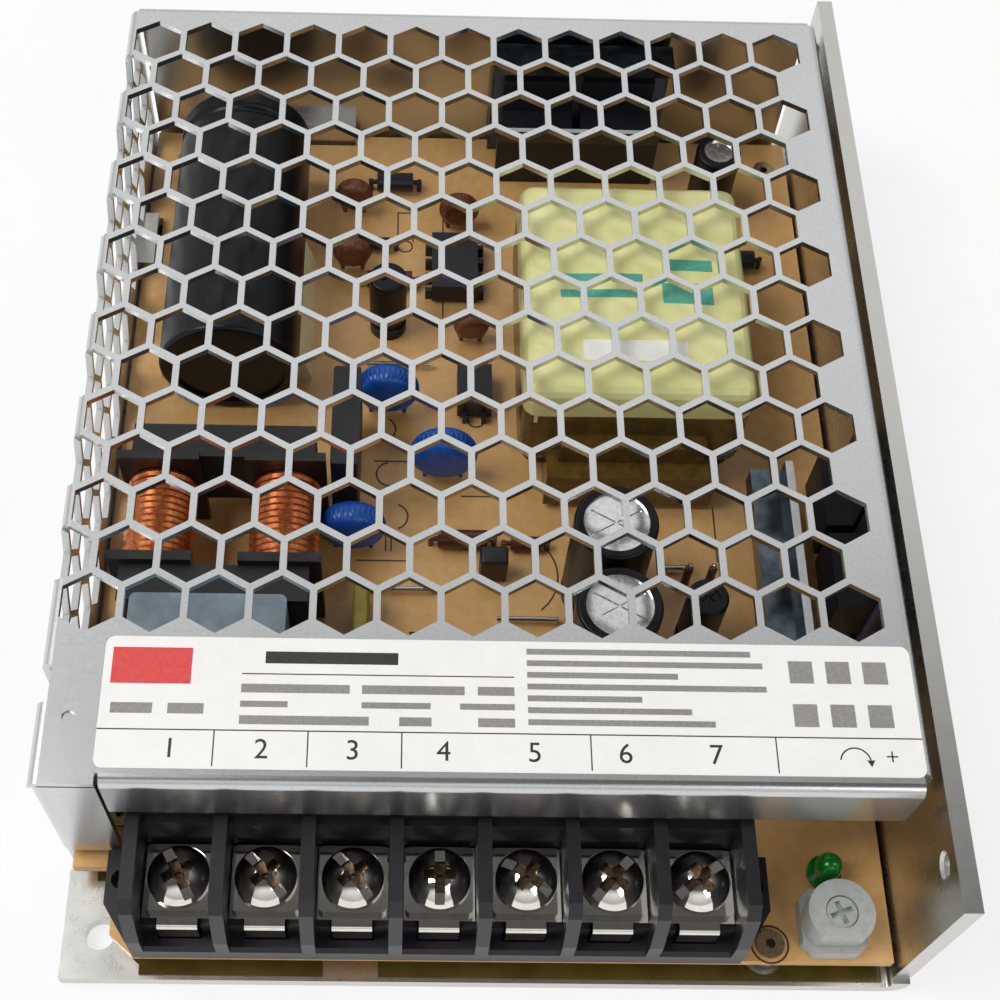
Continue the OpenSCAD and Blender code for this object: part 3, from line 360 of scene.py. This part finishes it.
def rounded_box(low, high, radius, segments=4):
    """A box in mm with all its edges rounded."""
    deselect()
    bpy.ops.mesh.primitive_cube_add(size=1, location=[(a + b) / 2 * MM for a, b in zip(low, high)])
    part = bpy.context.object
    part.scale = [(b - a) * MM for a, b in zip(low, high)]
    bpy.ops.object.transform_apply(location=True, rotation=True, scale=True)
    bpy.ops.object.mode_set(mode="EDIT")
    bpy.ops.mesh.select_all(action="SELECT")
    bpy.ops.mesh.bevel(offset=radius * MM, segments=segments, affect="EDGES")
    bpy.ops.object.mode_set(mode="OBJECT")
    return part


def smooth(piece, angle=40):
    """Shades a piece smooth where its faces meet at less than the angle, in degrees."""
    deselect()
    piece.select_set(True)
    bpy.context.view_layer.objects.active = piece
    bpy.ops.object.shade_smooth_by_angle(angle=math.radians(angle))


def round_bar(at, radius, low, high, sides=12, rim=0.0):
    """An upright round bar in mm, its top rim rounded."""
    deselect()
    bpy.ops.mesh.primitive_cylinder_add(vertices=sides, radius=radius * MM, depth=(high - low) * MM,
                                        location=(at[0] * MM, at[1] * MM, (low + high) / 2 * MM))
    part = bpy.context.object
    if rim:
        bpy.ops.object.transform_apply(location=True, rotation=True, scale=True)
        for edge in part.data.edges:
            edge.select = all(part.data.vertices[i].co.z > (high - 0.01) * MM for i in edge.vertices)
        bpy.ops.object.mode_set(mode="EDIT")
        bpy.ops.mesh.select_mode(type="EDGE")
        bpy.ops.mesh.bevel(offset=rim * MM, segments=4, affect="EDGES")
        bpy.ops.object.mode_set(mode="OBJECT")
    return part


def dipped_disc(at, diameter, thickness, lift):
    """Epoxy-dipped disc on edge: a pillow with thick rounded rims, and the dip run down both leads."""
    middle_z = deck + lift + diameter / 2
    deselect()
    bpy.ops.mesh.primitive_cylinder_add(vertices=40, radius=diameter / 2 * MM, depth=thickness * MM,
                                        location=(at[0] * MM, at[1] * MM, middle_z * MM),
                                        rotation=(math.pi / 2, 0, 0))
    disc = bpy.context.object
    bpy.ops.object.transform_apply(location=True, rotation=True, scale=True)
    for edge in disc.data.edges:
        ends = [disc.data.vertices[i].co.y for i in edge.vertices]
        edge.select = abs(ends[0] - ends[1]) < 0.01 * MM
    bpy.ops.object.mode_set(mode="EDIT")
    bpy.ops.mesh.select_mode(type="EDGE")
    bpy.ops.mesh.bevel(offset=thickness * 0.42 * MM, segments=6, affect="EDGES")
    bpy.ops.object.mode_set(mode="OBJECT")
    parts = [disc]
    for side in (-1, 1):
        x = at[0] + side * diameter * 0.28
        deselect()
        bpy.ops.mesh.primitive_cone_add(vertices=16, radius1=0.45 * MM, radius2=0.95 * MM, depth=1.8 * MM,
                                        location=(x * MM, at[1] * MM, (deck + lift + 0.5) * MM))
        parts.append(bpy.context.object)
        parts.append(round_bar((x, at[1]), 0.3, deck, deck + lift))
    return parts


def on_crown(piece, surface, thickness):
    """Presses a flat print onto the surface below it, then gives it its thickness."""
    apply_modifier(piece, "SUBSURF", subdivision_type="SIMPLE", levels=4, render_levels=4)
    apply_modifier(piece, "SHRINKWRAP", target=surface, wrap_method="PROJECT", use_project_z=True,
                   use_negative_direction=True, use_positive_direction=True, offset=0.01 * MM)
    apply_modifier(piece, "SOLIDIFY", thickness=thickness * MM, offset=1)


# ---------- print on the label and the board ----------

PRINT_T = 0.01  # thickness of the print on the label
BOARD_PRINT_T = 0.03  # thickness of the print on the board
HALF_LINE = 0.07  # half the width of a printed line

# Number row on the label: a rule, dividers between the cells, and one number over each terminal
rule_y = -45.4
row_low = label_low.y / MM
lines = [bar((label_low.x / MM, rule_y - HALF_LINE), (label_high.x / MM, rule_y + HALF_LINE), label_z)]
for x in (-29.5, -19.7, -9.9, 9.9, 29.4):
    lines.append(bar((x - HALF_LINE, row_low + 0.3), (x + HALF_LINE, rule_y), label_z))
for number, at in enumerate(screw_middles, 1):
    lines.append(numeral(number, (at.x, (row_low + rule_y) / 2), 2.2, label_z))
# Which way the trimmer turns the output up: an arc with its arrow head, and a plus
lines.append(ring((37.6, -48.1), 1.6, 0.16, label_z, 10, 160))
lines.append(arrow_head((39.2, -48.1), 0.5, label_z))
lines.append(bar((40.9, -47.5), (42.1, -47.34), label_z))
lines.append(bar((41.42, -48.02), (41.58, -46.82), label_z))
# Title bar with its rule below, as plain strokes
lines.append(bar((-24.6, -37.7), (-10.4, -36.3), label_z))
lines.append(bar((-27, -39.0), (2, -38.87), label_z))
print_on(lines, "label_print_black", black_ink, PRINT_T)

# Plain field of red at the label's left end
print_on([bar((-40.9, -40.2), (-32.4, -36.0), label_z)], "label_print_red", red_ink, PRINT_T)

# Lines of small print, as grey strokes, and six plain squares at the right end
strokes = []
for y, height, runs in ((-40.6, 1.0, ((-27, -15.5), (-14.2, -3.3), (-1.9, 2))),
                        (-42.4, 0.7, ((-27, -22), (-14.2, -6.9), (-3.8, 2))),
                        (-44.2, 1.0, ((-27, -13.4), (-10.2, -6.8), (-1.9, 2)))):
    for x0, x1 in runs:
        strokes.append(bar((x0, y - height / 2), (x1, y + height / 2), label_z))
for row, length in enumerate((24.2, 25.4, 16.2, 25.6, 12.2, 17.4, 19.8)):
    y = -35.9 - row * 1.36
    strokes.append(bar((3.4, y - 0.34), (3.4 + length, y + 0.34), label_z))
for x, y in ((31.6, -36.6), (35.6, -36.6), (39.6, -36.6), (31.6, -41.6), (35.6, -41.6), (39.6, -41.6)):
    strokes.append(bar((x, y - 2.6), (x + 2.6, y), label_z))
strokes += [bar((-40.6, -43.6), (-36.2, -42.4), label_z), bar((-34.6, -43.6), (-30.8, -42.4), label_z)]
print_on(strokes, "label_print_grey", grey_ink, PRINT_T)

# Board print: rings and lines that mark where parts stand
marks = [ring(at, radius, 0.22, deck, start, sweep) for at, radius, start, sweep in (
    ((32.1, -61.0), 2.1, 0, 360), ((-13.2, 7.4), 1.9, -60, 120), ((-0.5, 9.1), 1.1, 0, 360),
    ((-11.9, 0.4), 1.8, 100, 200), ((-11.4, -6.0), 1.9, -70, 140), ((3.4, -14.4), 6.3, -50, 150),
    ((-6.4, 5.6), 1.4, 0, 360), ((-10.4, 38.6), 1.0, 0, 360), ((24.0, -36.0), 2.4, 0, 360))]
for low, high in (((-14.1, 2.3), (-9.5, 2.5)), ((-16, -12.6), (-9.6, -12.4)),
                  ((-5.1, 40), (-4.9, 47.5)), ((-5.1, 26.1), (-4.9, 32.8)),
                  ((-5.1, 44.2), (-1.7, 44.5)), ((-11.6, 39.4), (-11.4, 44.8)),
                  ((-9.4, 39.4), (-9.2, 44.8)), ((-11.6, 44.7), (-9.2, 44.9)),
                  ((-14.9, -9.6), (-13.1, -9.3)), ((-12.4, -11.1), (-12.2, -8.2)),
                  ((-11.7, -11.1), (-11.5, -8.2)), ((-10.9, -9.6), (-9.3, -9.3)),
                  ((-2.6, -2.9), (2.6, -2.7)), ((30.2, -12), (30.4, -4)), ((36.2, 24), (36.4, 32))):
    marks.append(bar(low, high, deck))
print_on(marks, "board_print", brown_ink, BOARD_PRINT_T)


# ---------- parts on the board ----------

# Transformer: tape wound round core and windings, pulled soft over the edges and crowned on top
wrap_low, wrap_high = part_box("transformer_tape")
wrap = rounded_box([v / MM for v in wrap_low], [v / MM for v in wrap_high], 1.9)
apply_modifier(wrap, "SUBSURF", subdivision_type="SIMPLE", levels=3, render_levels=3)
wrap_mid = (wrap_low + wrap_high) / 2
wrap_half = (wrap_high - wrap_low) / 2
for vertex in wrap.data.vertices:
    reach = (vertex.co - wrap_mid)
    across = max(0, 1 - (reach.x / wrap_half.x) ** 2) * max(0, 1 - (reach.y / wrap_half.y) ** 2)
    if reach.z > wrap_half.z * 0.7:
        vertex.co.z += 0.45 * MM * across
creases = bpy.data.textures.new("tape_creases", "CLOUDS")
creases.noise_scale = 0.006
apply_modifier(wrap, "DISPLACE", texture=creases, texture_coords="LOCAL", strength=0.35 * MM, mid_level=0.35)
smooth(wrap, 60)
wrap = settle([wrap], "transformer_wrap", yellow_tape)
# Painted shade: the wrap's lower sides, below a wavy line, take the dark olive; partly the windings' own
# colour showing through
wrap.data.materials.append(olive_tape_and_painted_shade)
for face in wrap.data.polygons:
    if face.center.z / MM < deck + 15 + 0.8 * math.sin(face.center.x / MM * 0.7):
        face.material_index = 1
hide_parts("transformer_tape")

# Dipped parts: blue line capacitors and small brown ones
blue_discs, brown_discs = [], []
for at, diameter, thickness in (((-12.4, 10.4), 8, 3.6), ((-16.4, -10.4), 8, 3.6), ((-5, 0.4), 8.4, 3.8)):
    blue_discs += dipped_disc(at, diameter, thickness, 1.4)
for at, diameter, thickness in (((-17.8, 45), 5, 2.6), ((-17.8, 34.6), 5, 2.6), ((-2.8, 42.4), 5.4, 2.6),
                                ((-1.2, 22.4), 4.6, 2.4)):
    brown_discs += dipped_disc(at, diameter, thickness, 1.2)
blue_discs = settle(blue_discs, "blue_disc_capacitors", blue_epoxy)
brown_discs = settle(brown_discs, "brown_disc_capacitors", brown_ceramic)
smooth(blue_discs)
smooth(brown_discs)
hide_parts("y_capacitors")
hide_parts("ceramic_capacitors")

# Small parts standing on the board that are too slight to be solids of their own
smooth(settle([round_bar((x, -15.3), 0.55, deck, deck + 4.6, 16, 0.2) for x in (25.7, 28.7)],
              "upright_resistors", resistor_lacquer))
smooth(settle([round_bar((x, -15.3), 0.3, deck + 4.6, deck + 5.4, 12, 0.25) for x in (25.7, 28.7)],
              "upright_resistor_leads", tinned_copper))
smooth(settle([rounded_box((-0.4, -15.4, deck), (3.1, -12.9, deck + 5.2), 0.4)],
              "driver_box", epoxy_moulding))
smooth(settle([rounded_box((-16.1, -28.5, deck), (-14.1, -18.2, deck + 6), 0.5)],
              "film_capacitor", mustard_film))

# Teal strokes and a white sticker lie on the crown of the tape
tape_z = wrap_high.z / MM + 2
teal = [bar((9.2, 16.9), (15.1, 18.1), tape_z), bar((16.2, 16.9), (19.6, 18.1), tape_z),
        bar((9.2, 14.4), (19.4, 15.6), tape_z), bar((22.2, 18.8), (28.6, 20.6), tape_z),
        bar((22.0, 13.6), (28.4, 16.8), tape_z)]
on_crown(settle(teal, "transformer_print", teal_ink), wrap, 0.02)
on_crown(settle([bar((11.7, 4.9), (24.6, 7.9), tape_z)], "transformer_sticker", white_paper), wrap, 0.05)


# ---------- camera, light and floor ----------

CAMERA_AT = (-10.2, -108.9, 186.5)  # mm
CAMERA_TURN = (-2.28, 60.36, 2.88)  # azimuth, elevation and roll, in degrees


def aim_camera():
    """Camera at the viewing angle, from above the front, with a slight roll."""
    azimuth, elevation, roll = map(math.radians, CAMERA_TURN)
    back = Vector((math.sin(azimuth) * math.cos(elevation), -math.cos(azimuth) * math.cos(elevation),
                   math.sin(elevation)))
    level = Vector((math.cos(azimuth), math.sin(azimuth), 0))
    upright = back.cross(level)
    right = level * math.cos(roll) + upright * math.sin(roll)
    up = upright * math.cos(roll) - level * math.sin(roll)
    bpy.ops.object.camera_add()
    camera = bpy.context.object
    turn = Matrix((right, up, back)).transposed().to_4x4()
    camera.matrix_world = Matrix.Translation(Vector(CAMERA_AT) * MM) @ turn
    camera.data.sensor_width = 36
    camera.data.lens = 57.56
    camera.data.shift_x = 0.0662
    camera.data.shift_y = 0.0213
    camera.data.clip_start = 0.01
    bpy.context.scene.camera = camera


def soft_lamp(name, place, width, power):
    """A large square lamp that faces the middle of the object. Place and width in metres, power in watts."""
    bpy.ops.object.light_add(type="AREA", location=place)
    lamp = bpy.context.object
    lamp.name = name
    lamp.data.size = width
    lamp.data.energy = power
    lamp.rotation_euler = (-Vector(place)).to_track_quat("-Z", "Y").to_euler()


def seen_rays(tree):
    """1 for the rays that show the surroundings to the eye: direct, mirrored or through glass."""
    ray = add_node(tree, "LightPath")
    seen = add_node(tree, "Math", {0: ray.outputs["Is Camera Ray"], 1: ray.outputs["Is Glossy Ray"]},
                    operation="MAXIMUM").outputs[0]
    return add_node(tree, "Math", {0: seen, 1: ray.outputs["Is Transmission Ray"]},
                    operation="MAXIMUM").outputs[0]


def light_world(world):
    """Soft surroundings, paler with height, with a dark band overhead from left to right. The horizon is
    white to the eye and in reflections."""
    world.use_nodes = True
    tree = world.node_tree
    background = tree.nodes["Background"]
    way = add_node(tree, "SeparateXYZ", {"Vector": add_node(tree, "TexCoord").outputs["Generated"]})
    high = add_node(tree, "MapRange", {"Value": way.outputs["Z"], "From Min": 0.0, "From Max": 0.8,
                                       "To Min": 0.3, "To Max": 1.0}).outputs["Result"]
    off_band = add_node(tree, "Math", {0: way.outputs["Y"], 1: 0.1}, operation="ADD").outputs[0]
    off_band = add_node(tree, "Math", {0: off_band}, operation="ABSOLUTE").outputs[0]
    band = add_node(tree, "MapRange", {"Value": off_band, "From Min": 0.38, "From Max": 0.6,
                                       "To Min": 0.1, "To Max": 1.0}).outputs["Result"]
    below = add_node(tree, "MapRange", {"Value": way.outputs["Z"], "From Min": 0.45, "From Max": 0.75,
                                        "To Min": 1.0, "To Max": 0.0}).outputs["Result"]
    band = add_node(tree, "Math", {0: band, 1: below}, operation="MAXIMUM").outputs[0]
    level = add_node(tree, "Math", {0: high, 1: band}, operation="MULTIPLY").outputs[0]
    horizon = add_node(tree, "MapRange", {"Value": way.outputs["Z"], "From Min": 0.12, "From Max": 0.35,
                                          "To Min": 1.0, "To Max": 0.0}).outputs["Result"]
    white = add_node(tree, "Math", {0: horizon, 1: seen_rays(tree)}, operation="MULTIPLY").outputs[0]
    level = add_node(tree, "Math", {0: level, 1: white}, operation="MAXIMUM").outputs[0]
    tree.links.new(level, background.inputs["Strength"])
    background.inputs["Color"].default_value = (1, 1, 1, 1)


def pale_floor():
    """White paper that stays white to the eye and in reflections, and still takes the shadow."""
    material, tree, shader, place = start_material("white_paper_floor")
    fibre = add_node(tree, "TexNoise", {"Vector": place, "Scale": 1 / (8 * MM), "Detail": 2.0}).outputs["Fac"]
    tree.links.new(two_tone(tree, fibre, "#f4f4f4", "#fbfbfb"), shader.inputs["Base Color"])
    shader.inputs["Roughness"].default_value = 0.9
    share = add_node(tree, "Math", {0: seen_rays(tree), 1: 0.75}, operation="MULTIPLY").outputs[0]
    glow = add_node(tree, "Emission", {"Color": (1, 1, 1, 1), "Strength": 1.0}).outputs[0]
    mixed = add_node(tree, "MixShader", {0: share, 1: shader.outputs[0], 2: glow}).outputs[0]
    tree.links.new(mixed, tree.nodes["Material Output"].inputs["Surface"])
    return material


aim_camera()
soft_lamp("left_lamp", (-0.65, 0.0, 1.0), 0.6, 8.2)
soft_lamp("right_front_lamp", (0.5, -0.55, 0.7), 0.45, 1.5)
world = bpy.context.scene.world or bpy.data.worlds.new("studio")
bpy.context.scene.world = world
light_world(world)
bpy.context.scene.view_settings.view_transform = "Standard"

deselect()
bpy.ops.mesh.primitive_plane_add(size=16, location=(0, 0, 0))
floor = bpy.context.object
floor.name = "floor"
floor.data.materials.append(pale_floor())
